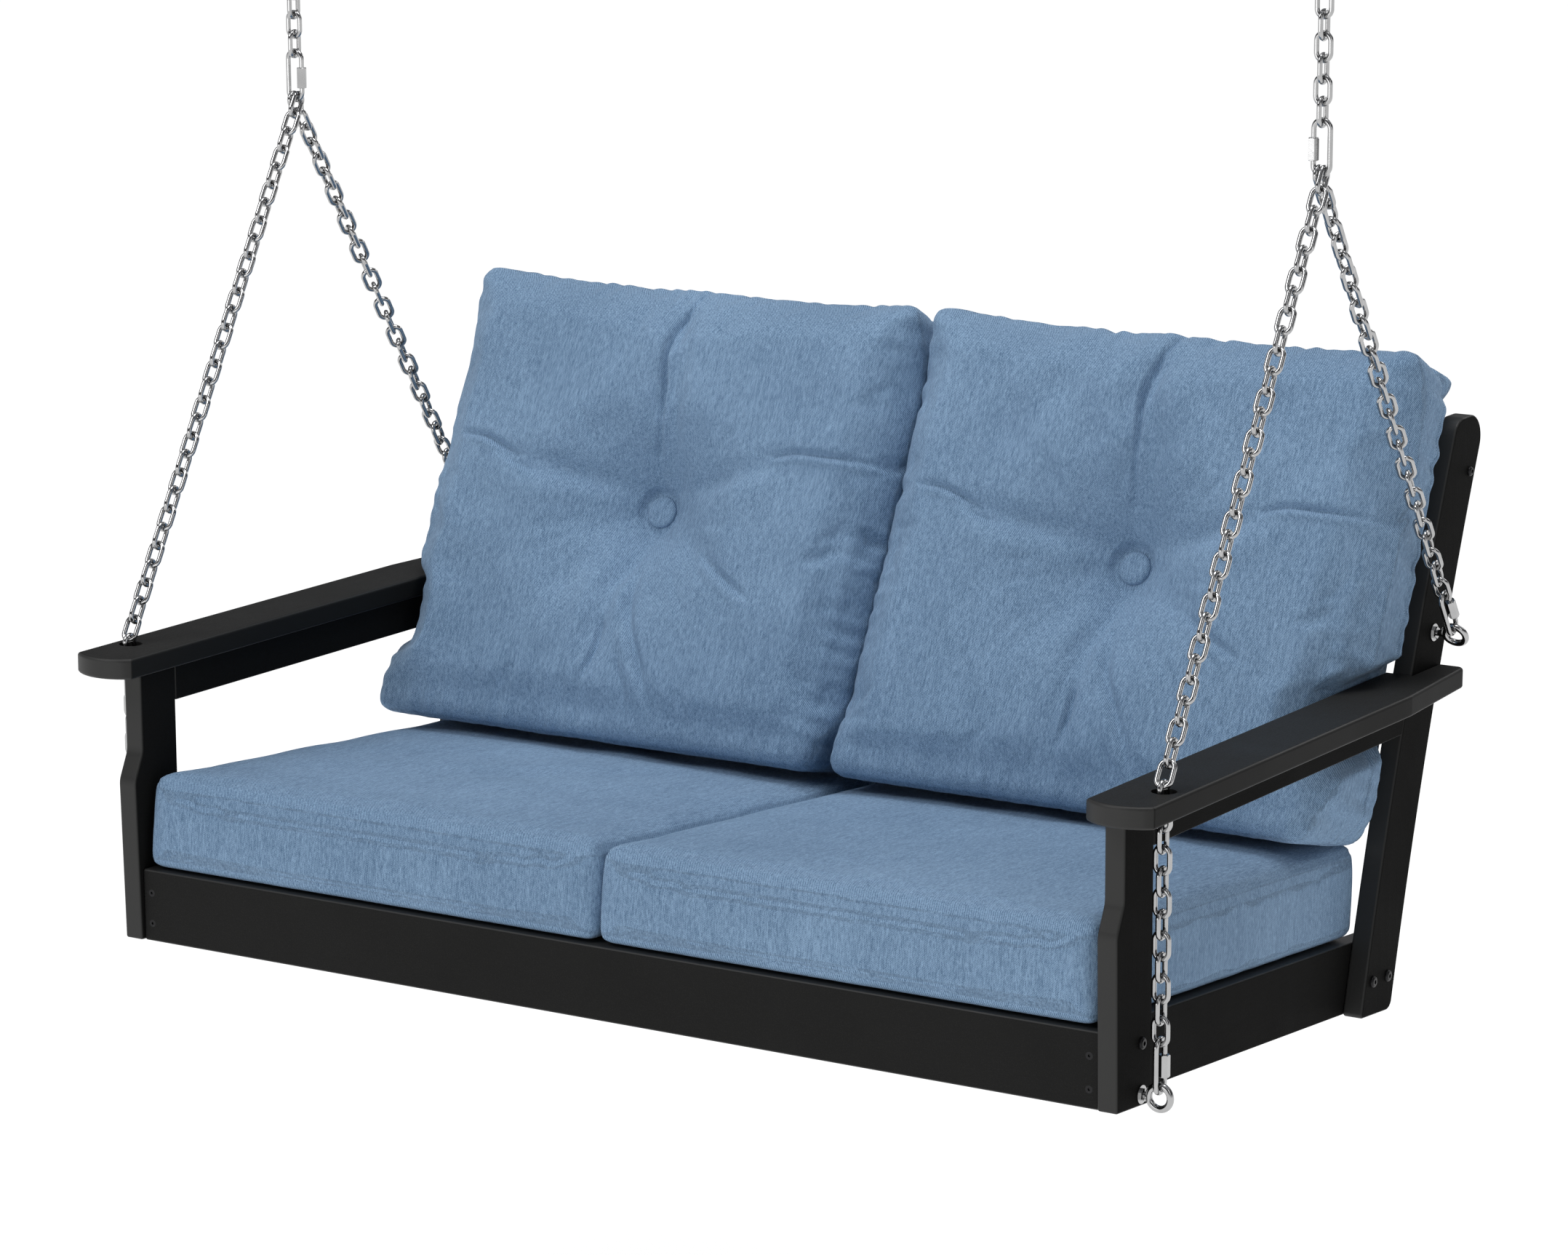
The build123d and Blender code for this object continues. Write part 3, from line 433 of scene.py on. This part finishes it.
def seat_cushion(name, node, seed):
    """A foam block in a sewn cover: crowned top, full sides, and a seam round its top edge."""
    low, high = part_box(node)
    half = np.array([high.x - low.x, SEAT_DEPTH, SEAT_THICK]) / 2 - 0.0005
    co, faces = rounded_block(half * 2, SEAT_ROUND, CELL)
    piece = new_piece(name, co, faces)
    inflate(piece, 0.0065, 3.0, 0.003, pinned=lambda p: smoothstep(-p[:, 2], 0.03, 0.055))
    smoother(piece)
    co = points_of(piece)
    u, v, w = (co / half).T
    plateau = (1 - np.abs(u) ** 2.6).clip(0) * (1 - np.abs(v) ** 2.6).clip(0)
    co[:, 2] += SEAT_CROWN * plateau * (w > 0)
    away = np.stack([
        np.where(np.abs(u) > 0.93, np.sign(u), 0), np.where(np.abs(v) > 0.93, np.sign(v), 0), 0 * u
    ], 1)
    away /= np.maximum(np.linalg.norm(away, axis=1, keepdims=True), 1e-9)
    rim = np.maximum(np.abs(u), np.abs(v))
    side = smoothstep(rim, 0.9, 0.99)
    run = np.where(np.abs(u) > np.abs(v), co[:, 1], co[:, 0])
    seam = np.exp(-(((co[:, 2] - half[2] + SEAM_DROP) / 0.003) ** 2)) * (rim > 0.93)
    full = (1 - w ** 2).clip(0) * side
    pull = SIDE_PULL * wave(run / 0.09, seed) * side * (1 - 0.6 * np.abs(w))
    stitches = STITCH * np.sin(run * 2 * math.pi / STITCH_PITCH) * seam
    co += away * (SIDE_SWELL * full - SEAM_PINCH * seam + stitches + pull)[:, None]
    uneven = wave(co[:, 0] / 0.21, seed + 1) * wave(co[:, 1] / 0.24, seed + 2)
    co[:, 2] += TOP_UNEVEN * uneven * smoothstep(w, 0.6, 0.8)
    co[:, 0] = np.clip(co[:, 0], -half[0] - SIDE_ROOM, half[0] + SIDE_ROOM)
    co[:, 2] = np.maximum(co[:, 2], -half[2])
    move_points(piece, co)
    piece.data.transform(Matrix.Translation((low + high) / 2) @ Matrix.Rotation(-SEAT_LEAN, 4, "X"))
    piece.data.materials.append(SEAT_CLOTH)
    finish_soft(piece, node)


def finish_soft(piece, node):
    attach(piece, "seat")
    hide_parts(node)


# ---- back cushions ---------------------------------------------------------------------
# side view of a back cushion, measured up its front and out from its button
REAR_LOW = np.array((-0.266, -0.1686))
REAR_TOP = np.array((0.300, -0.093))
FRONT_LOW = np.array((-0.319, 0.062))
FRONT_TOP = np.array((0.292, 0.061))
BACK_HALF = 0.347  # half a back cushion's width
BACK_ROUND = 0.025
BLOCK = (0.60, 0.20)  # height and thickness of the block that is bent to the side view
SEAM_SHARE = 0.42  # the seam lies at this share of the thickness from the rear
RIM_FALL = 0.07  # the front falls by this share of its height above the seam, at its rims
TUFT_SINK = 0.075
BUTTON_R = 0.0215
BUTTON_SEAT = -0.007  # the cover meets the button this far behind its front
EAR = 0.020  # the top corners stand this much higher
ARM_SIDE = 0.6645  # the arms' inner edges
WING = 0.032  # the cushions bulge this far beyond them
ARM_TOP = -0.9105
RAIL_LOW = -0.9815  # underside of the arm rails
LEG_SIDE = 0.6725  # the back legs' inner faces
LEG_TOP = -0.617
LEG_FOOT = (0.2031, -1.3123)  # y and z of the front edge of the back legs at their feet
LEG_LEAN = 0.25  # rearward run of that edge per unit of height at the foot
LEG_BOW = 0.133  # quadratic part of that run
PRESSED_FROM = 0.56  # a cushion is narrowed from this distance from the middle outwards
SEAT_TOP = (-0.4208, -1.0540)  # y and z of a point on the seat cushions' tops
SEAT_REAR = 0.248  # the back cushions rest on the seat cushions in front of this
# folds in the cover, as (points across and up from the button, width, depth)
FOLDS = (
    (((-0.004, 0.070), (-0.005, 0.151), (-0.009, 0.193), (-0.006, 0.232), (0.011, 0.304)),
     0.0045, 0.0110),
    (((0.010, 0.040), (0.010, 0.110), (0.006, 0.170), (0.006, 0.240)), 0.0240, 0.0090),
    (((-0.285, 0.060), (-0.250, 0.058), (-0.215, 0.046), (-0.190, 0.036)), 0.0042, 0.0085),
    (((-0.225, 0.040), (-0.190, 0.026), (-0.160, 0.020)), 0.0042, 0.0060),
    (((-0.215, 0.042), (-0.160, 0.030), (-0.103, 0.027), (-0.045, 0.018)), 0.0170, 0.0105),
    (((0.190, 0.072), (0.225, 0.080), (0.282, 0.080), (0.335, 0.084)), 0.0042, 0.0085),
    (((0.045, 0.020), (0.100, 0.036), (0.144, 0.049), (0.200, 0.070)), 0.0170, 0.0095),
    (((0.006, -0.038), (-0.007, -0.089), (-0.015, -0.127), (-0.007, -0.215)), 0.0150, 0.0105),
    (((-0.012, -0.165), (-0.007, -0.205), (-0.010, -0.250)), 0.0040, 0.0085),
    (((0.015, -0.095), (0.022, -0.140), (0.060, -0.205), (0.095, -0.268)), 0.0070, 0.0080),
    (((0.115, -0.066), (0.172, -0.099), (0.207, -0.118)), 0.0055, 0.0070),
    (((0.040, -0.025), (0.100, -0.060), (0.165, -0.098)), 0.0200, 0.0060),
)


def along_path(u, v, path):
    """Distance of each point from a path, the share of the path gone by, and which side."""
    best = np.full(u.shape, 1e9)
    share = np.zeros(u.shape)
    side = np.zeros(u.shape)
    steps = [math.dist(a, b) for a, b in zip(path, path[1:])]
    gone = 0.0
    for (a, b), step in zip(zip(path, path[1:]), steps):
        du, dv = (b[0] - a[0]) / step, (b[1] - a[1]) / step
        t = np.clip((u - a[0]) * du + (v - a[1]) * dv, 0, step)
        away_u, away_v = u - a[0] - t * du, v - a[1] - t * dv
        d = np.hypot(away_u, away_v)
        closer = d < best
        best = np.where(closer, d, best)
        share = np.where(closer, (gone + t) / sum(steps), share)
        side = np.where(closer, np.sign(away_u * dv - away_v * du), side)
        gone += step
    return best, share, side


def curved(path, parts=6):
    """More points on a smooth line through a path."""
    ends = [path[0], *path, path[-1]]
    out = []
    for p0, p1, p2, p3 in zip(ends, ends[1:], ends[2:], ends[3:]):
        for n in range(parts):
            t = n / parts
            out.append(tuple(
                0.5 * (2 * b + (c - a) * t + (2 * a - 5 * b + 4 * c - d) * t * t
                       + (3 * b - a - 3 * c + d) * t ** 3)
                for a, b, c, d in zip(p0, p1, p2, p3)
            ))
    return out + [path[-1]]


def rear_level(v):
    """How far out the rear of a back cushion lies at a height up its front."""
    share = (v - REAR_LOW[0]) / (REAR_TOP[0] - REAR_LOW[0])
    return REAR_LOW[1] + share * (REAR_TOP[1] - REAR_LOW[1])


def on_profile(co, size):
    """Bends a block to a back cushion's side view, its front lower at the rims than within."""
    u, t, s = (co / np.array(size)).T + np.array([[0.0], [0.5], [0.5]])
    full = ((1 - np.abs(2 * u) ** 4).clip(0) * (1 - np.abs(2 * t - 1) ** 4).clip(0)) ** 0.5
    s = np.where(s > SEAM_SHARE, SEAM_SHARE + (s - SEAM_SHARE) * (1 - RIM_FALL * (1 - full)), s)
    t, s = t[:, None], s[:, None]
    low = (1 - s) * REAR_LOW + s * FRONT_LOW
    high = (1 - s) * REAR_TOP + s * FRONT_TOP
    return np.hstack([co[:, :1], (1 - t) * low + t * high])


def sink(co):
    """Draws the front in towards the button."""
    near = np.hypot(co[:, 0], co[:, 1] * 0.9)
    dip = TUFT_SINK * (0.48 * np.exp(-((near / 0.048) ** 2)) + 0.52 * np.exp(-((near / 0.115) ** 2)))
    co[:, 2] -= dip * smoothstep(co[:, 2], -0.05, 0.0)
    return co


def held(p):
    """The cover is held where it leans on the slats, by the button, and at its lower edge."""
    rear = smoothstep(rear_level(p[:, 1]) - p[:, 2], -0.040, -0.015)
    button = smoothstep(-np.hypot(p[:, 0], p[:, 1]), -0.050, -0.026) * (p[:, 2] > -0.05)
    foot = 0.45 * smoothstep(-p[:, 1], 0.245, 0.305)
    return np.maximum(np.maximum(rear, button), foot)


STAR_PULLS = 7  # small pulls round the button
STAR_DEPTH = 0.0030
SWELL = 0.0022  # unevenness of the filling
GATHER_PITCH = 0.036  # of the gathers along the seam
GATHER = 0.0015
GATHER_RISE = 0.0016  # the gathers' height on the front
PINCH = 0.0024  # the seam draws in this much


def folded(co, seed):
    """Folds running from the button, a star of small pulls round it, gathers along the seam."""
    u, v, w = co.T
    front = smoothstep(w, -0.045, -0.005)
    drop = np.zeros(len(co))
    for path, wide, deep in FOLDS:
        d, share, flank = along_path(u, v, curved(path))
        fade = deep * np.sin(math.pi * np.clip(share * 0.92 + 0.06, 0, 1)) ** 0.6
        ridge = np.exp(-(((d * flank - 1.9 * wide) / (1.3 * wide)) ** 2))
        drop += fade * (0.40 * ridge - np.exp(-((d / wide) ** 2)))
    star = np.arctan2(v, u)
    near = np.hypot(u, v)
    ring = np.exp(-(((near - 0.055) / 0.035) ** 2))
    drop -= STAR_DEPTH * ring * (1 + np.cos(star * STAR_PULLS + 0.6)) / 2
    swell = wave(u / 0.16, seed + 3) * wave(v / 0.17, seed + 4)
    drop += SWELL * swell * smoothstep(near, 0.05, 0.12)
    co[:, 2] += drop * front
    across = u / BACK_HALF
    middle = (FRONT_LOW[0] + REAR_TOP[0]) / 2
    upward = (v - middle) / (REAR_TOP[0] - middle)
    reach = np.maximum(np.abs(across), np.abs(upward))
    on_side = np.abs(across) > np.abs(upward)
    seam = rear_level(v) + SEAM_SHARE * (FRONT_LOW[1] - rear_level(v))
    gather = wave(np.where(on_side, v, u) / GATHER_PITCH, seed, 6, 0.6, 1.5)
    out = np.stack([np.where(on_side, np.sign(u), 0), np.where(on_side, 0, np.sign(upward))], 1)
    by_seam = np.exp(-(((w - seam) / 0.034) ** 2)) * smoothstep(reach, 0.86, 0.97)
    pinch = np.exp(-(((w - seam) / 0.0035) ** 2)) * smoothstep(reach, 0.9, 0.97)
    co[:, :2] += out * (GATHER * gather * by_seam - PINCH * pinch)[:, None]
    co[:, 2] += GATHER_RISE * gather * smoothstep(reach, 0.84, 0.97) * front
    co[:, 1] += EAR * np.abs(across) ** 6 * smoothstep(upward, 0.3, 1.0)
    at_button = smoothstep(-near, -0.034, -0.024) * (w > -0.05)
    co[:, 2] += (BUTTON_SEAT - co[:, 2]) * at_button
    return co


def squeezed(co, side):
    """Holds a back cushion in between the arms and the back legs; it bulges above and below."""
    x, y, z = side * co[:, 0], co[:, 1], co[:, 2]
    above = smoothstep(z, ARM_TOP, ARM_TOP + 0.030)
    below = smoothstep(-z, -RAIL_LOW, -RAIL_LOW + 0.030) * 0.85
    free = np.maximum(above, below)
    rise = z - LEG_FOOT[1]
    leg_front = LEG_FOOT[0] + LEG_LEAN * rise + LEG_BOW * rise ** 2
    by_leg = smoothstep(y - leg_front, -0.035, -0.006) * smoothstep(-z, -LEG_TOP - 0.05, -LEG_TOP)
    limit = np.minimum(ARM_SIDE + WING * free, LEG_SIDE + (WING - 0.008) * (1 - by_leg))
    widest = BUTTON_AT.x + BACK_HALF
    share = (limit - PRESSED_FROM) / (widest - PRESSED_FROM)
    pressed = PRESSED_FROM + (x - PRESSED_FROM) * share
    ahead = smoothstep(x, 0.55, 0.66) * smoothstep(leg_front - y, 0.04, 0.10)
    co[:, 1] -= 0.012 * (1 - free) * ahead
    co[:, 0] = side * np.where(x > PRESSED_FROM, pressed, x)
    seat_top = SEAT_TOP[1] - SEAT_SLOPE * (y - SEAT_TOP[0])
    co[:, 2] = np.where(y < SEAT_REAR, np.maximum(co[:, 2], seat_top + 0.001), co[:, 2])
    return co


def back_cushion(name, node, side, seed):
    """A loosely filled cushion: flat where it leans, full in front, drawn in at its button."""
    size = (2 * BACK_HALF, *BLOCK)
    co, faces = rounded_block(size, BACK_ROUND, CELL)
    piece = new_piece(name, sink(on_profile(co, size)), faces)
    inflate(piece, 0.0060, 4.0, 0.011, pinned=held, grow=0.02)
    smoother(piece)
    co = points_of(piece)
    co[:, 0] *= BACK_HALF / np.abs(co[:, 0]).max()
    low, high = co[:, 1].min(), co[:, 1].max()
    co[:, 1] = FRONT_LOW[0] + (co[:, 1] - low) / (high - low) * (REAR_TOP[0] - FRONT_LOW[0])
    co[:, 2] = np.maximum(co[:, 2], rear_level(co[:, 1]))
    move_points(piece, folded(co, seed))
    piece.data.transform(on_face(side))
    move_points(piece, squeezed(points_of(piece), side))
    piece.data.materials.append(BACK_CLOTH)
    finish_soft(piece, node)


def on_face(side):
    """Takes places across, up and out from a button to the row's frame."""
    return Matrix((
        (1, 0, 0, side * BUTTON_AT.x),
        (0, FACE_UP.y, FACE_OUT.y, BUTTON_AT.y),
        (0, FACE_UP.z, FACE_OUT.z, BUTTON_AT.z),
        (0, 0, 0, 1),
    ))


def button(name, side):
    """A covered button: a low dome with its edge turned under."""
    profile = ((0.0, 0.0), (0.35, -0.0003), (0.65, -0.0011), (0.86, -0.0024), (0.97, -0.0042),
               (1.0, -0.0062), (0.97, -0.0085), (0.90, -0.0105), (0.0, -0.0110))
    sides = 48
    co = [(0, 0, profile[0][1])]
    for r, h in profile[1:-1]:
        for k in range(sides):
            turn = 2 * math.pi * k / sides
            reach = r * (1 + 0.008 * math.sin(turn * 11) * r) * BUTTON_R
            co.append((reach * math.cos(turn), reach * math.sin(turn), h))
    co.append((0, 0, profile[-1][1]))
    last = len(co) - 1
    faces = []
    for k in range(sides):
        m = (k + 1) % sides
        faces.append((0, 1 + k, 1 + m))
        for n in range(len(profile) - 3):
            a, b = 1 + n * sides, 1 + (n + 1) * sides
            faces.append((a + k, b + k, b + m, a + m))
        rim = 1 + (len(profile) - 3) * sides
        faces.append((rim + m, rim + k, last))
    piece = new_piece(name, co, faces)
    piece.data.transform(on_face(side))
    piece.data.materials.append(BUTTON_CLOTH)
    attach(piece, "seat")
    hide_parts("back_buttons")


# ---- scene -----------------------------------------------------------------------------
def place_camera():
    a, e, r = (math.radians(x) for x in (CAMERA_AZIMUTH, CAMERA_ELEVATION, CAMERA_ROLL))
    back = Vector((math.sin(a) * math.cos(e), -math.cos(a) * math.cos(e), math.sin(e)))
    right = Vector((math.cos(a), math.sin(a), 0))
    up = back.cross(right)
    right, up = right * math.cos(r) + up * math.sin(r), up * math.cos(r) - right * math.sin(r)
    data = bpy.data.cameras.new("camera")
    data.lens = LENS
    data.sensor_width = 36.0
    data.sensor_fit = "HORIZONTAL"
    data.clip_end = 200.0
    camera = bpy.data.objects.new("camera", data)
    turn = Matrix((right, up, back)).transposed().to_4x4()
    camera.matrix_world = Matrix.Translation(CAMERA_AT) @ turn
    bpy.context.scene.collection.objects.link(camera)
    bpy.context.scene.camera = camera


FLOOR_SPAN = 60.0
LIT_POINT = (0, 0, -0.9)
LIGHTS = (  # name, place, size, power
    ("key", (-2.2, -3.4, 3.2), (2.4, 2.4), 100),
    ("side", (4.4, -2.4, 1.4), (1.0, 2.6), 18),
    ("fill", (-0.6, -5.2, -0.4), (3.2, 1.2), 26),
    ("top", (0.3, 0.4, 3.6), (3.0, 2.0), 100),
    ("rim", (1.5, 4.2, 1.4), (3.0, 1.2), 26),
)
SKY = (  # share of the way up, colour
    (0.03, (0.9, 0.9, 0.92, 1)),
    (0.30, (0.055, 0.055, 0.06, 1)),
    (0.55, (0.12, 0.12, 0.125, 1)),
    (0.9, (0.55, 0.56, 0.58, 1)),
)


def area_light(name, at, size, power):
    data = bpy.data.lights.new(name, "AREA")
    data.shape = "RECTANGLE"
    data.size, data.size_y = size
    data.energy = power
    light = bpy.data.objects.new(name, data)
    light.location = at
    light.rotation_euler = (Vector(LIT_POINT) - Vector(at)).to_track_quat("-Z", "Y").to_euler()
    bpy.context.scene.collection.objects.link(light)


def floor():
    """A plain pale floor that glows a little, so that it stays even."""
    low = CAD_BOX[0]
    corners = [(x * FLOOR_SPAN, y * FLOOR_SPAN, low[2] - FLOOR_DROP)
               for x, y in ((-1, -1), (1, -1), (1, 1), (-1, 1))]
    piece = new_piece("floor", corners, [(0, 1, 2, 3)])
    s = Shader("pale_floor")
    tone = s.mix(s.noise(0.7, 2.0), (0.16, 0.16, 0.16, 1), (0.18, 0.18, 0.18, 1))
    s.join(tone, s.surface.inputs["Base Color"])
    s.surface.inputs["Roughness"].default_value = 0.95
    s.surface.inputs["Specular IOR Level"].default_value = 0.0
    s.surface.inputs["Emission Color"].default_value = (1, 1, 1, 1)
    s.surface.inputs["Emission Strength"].default_value = 0.97
    piece.data.materials.append(s.material)


def sky():
    """Pale at the horizon and overhead, and dim between, so that bright metal has contrast."""
    world = bpy.data.worlds.new("studio")
    world.use_nodes = True
    nodes, links = world.node_tree.nodes, world.node_tree.links
    coords = nodes.new("ShaderNodeTexCoord")
    split = nodes.new("ShaderNodeSeparateXYZ")
    fade = nodes.new("ShaderNodeValToRGB")
    stops = fade.color_ramp.elements
    for end, (place, colour) in ((0, SKY[0]), (1, SKY[-1])):
        stops[end].position = place
        stops[end].color = colour
    for place, colour in SKY[1:-1]:
        stops.new(place).color = colour
    links.new(coords.outputs["Generated"], split.inputs[0])
    links.new(split.outputs["Z"], fade.inputs["Fac"])
    links.new(fade.outputs["Color"], nodes["Background"].inputs["Color"])
    nodes["Background"].inputs["Strength"].default_value = 0.8
    bpy.context.scene.world = world


def studio():
    floor()
    for name, at, size, power in LIGHTS:
        area_light(name, at, size, power)
    sky()
    bpy.context.scene.view_settings.view_transform = "Standard"


# ---- materials on the CAD nodes --------------------------------------------------------
def paint(node, material):
    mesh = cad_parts[node].data
    mesh.materials.clear()
    mesh.materials.append(material)


def paint_all():
    to_side = lumber("lumber_upright", (1, 0, 0), 2)
    level_side = lumber("lumber_side", (1, 0, 0), 1)
    # the arms: top and bottom faces 1.8 times brighter, painted light for the sheen their tops catch
    arm_top_painted_light = lumber("lumber_arm_painted_light", (0, 0, 1), 1, 1.8)
    front_face = lumber("lumber_front", (0, 1, 0), 0)
    seat_face = lumber("lumber_seat", (0, SEAT_SLOPE, 1), 0)
    back_face = lumber("lumber_back", (0, 1, -BACK_SLOPE), 2)
    back_cross = lumber("lumber_cross", (0, 1, -BACK_SLOPE), 0)
    chain = bright_steel("chain_steel", 0.06)
    fittings = bright_steel("fitting_steel", 0.06)
    bolts = black_metal("black_bolts")
    rules = (
        (("front_post", "back_leg"), to_side),
        (("side_apron", "arm_rail", "seat_cleat", "seat_bearer"), level_side),
        (("arm_left", "arm_right"), arm_top_painted_light),
        (("front_apron",), front_face),
        (("seat_slat",), seat_face),
        (("back_slat",), back_face),
        (("rear_apron", "back_top_rail"), back_cross),
        (("upper_chain", "front_chain", "rear_chain"), chain),
        (("ceiling_plate", "quick_links", "sleeve", "eye_bolt"), fittings),
        (("frame_bolts", "frame_screws", "seat_screws", "back_screws"), bolts),
    )
    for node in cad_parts:
        for words, material in rules:
            if any(word in node for word in words):
                paint(node, material)
                break


ACROSS = Vector((1, 0, 0))
SEAT_ALONG = Vector((0, 1, -SEAT_SLOPE)).normalized()
SEAT_CLOTH = woven("cloth_seat", ACROSS, SEAT_ALONG, ACROSS.cross(SEAT_ALONG))
BACK_CLOTH = woven("cloth_back", ACROSS, FACE_UP, ACROSS.cross(FACE_UP))
BUTTON_CLOTH = woven("cloth_button", ACROSS, FACE_UP, ACROSS.cross(FACE_UP))

place_camera()
studio()
paint_all()
for number, (label, side) in enumerate((("left", -1), ("right", 1))):
    seat_cushion(f"seat_cushion_cover_{label}", f"seat_cushion_{label}", 11 + number)
    back_cushion(f"back_cushion_cover_{label}", f"back_cushion_{label}", side, 31 + number)
    button(f"button_{label}", side)
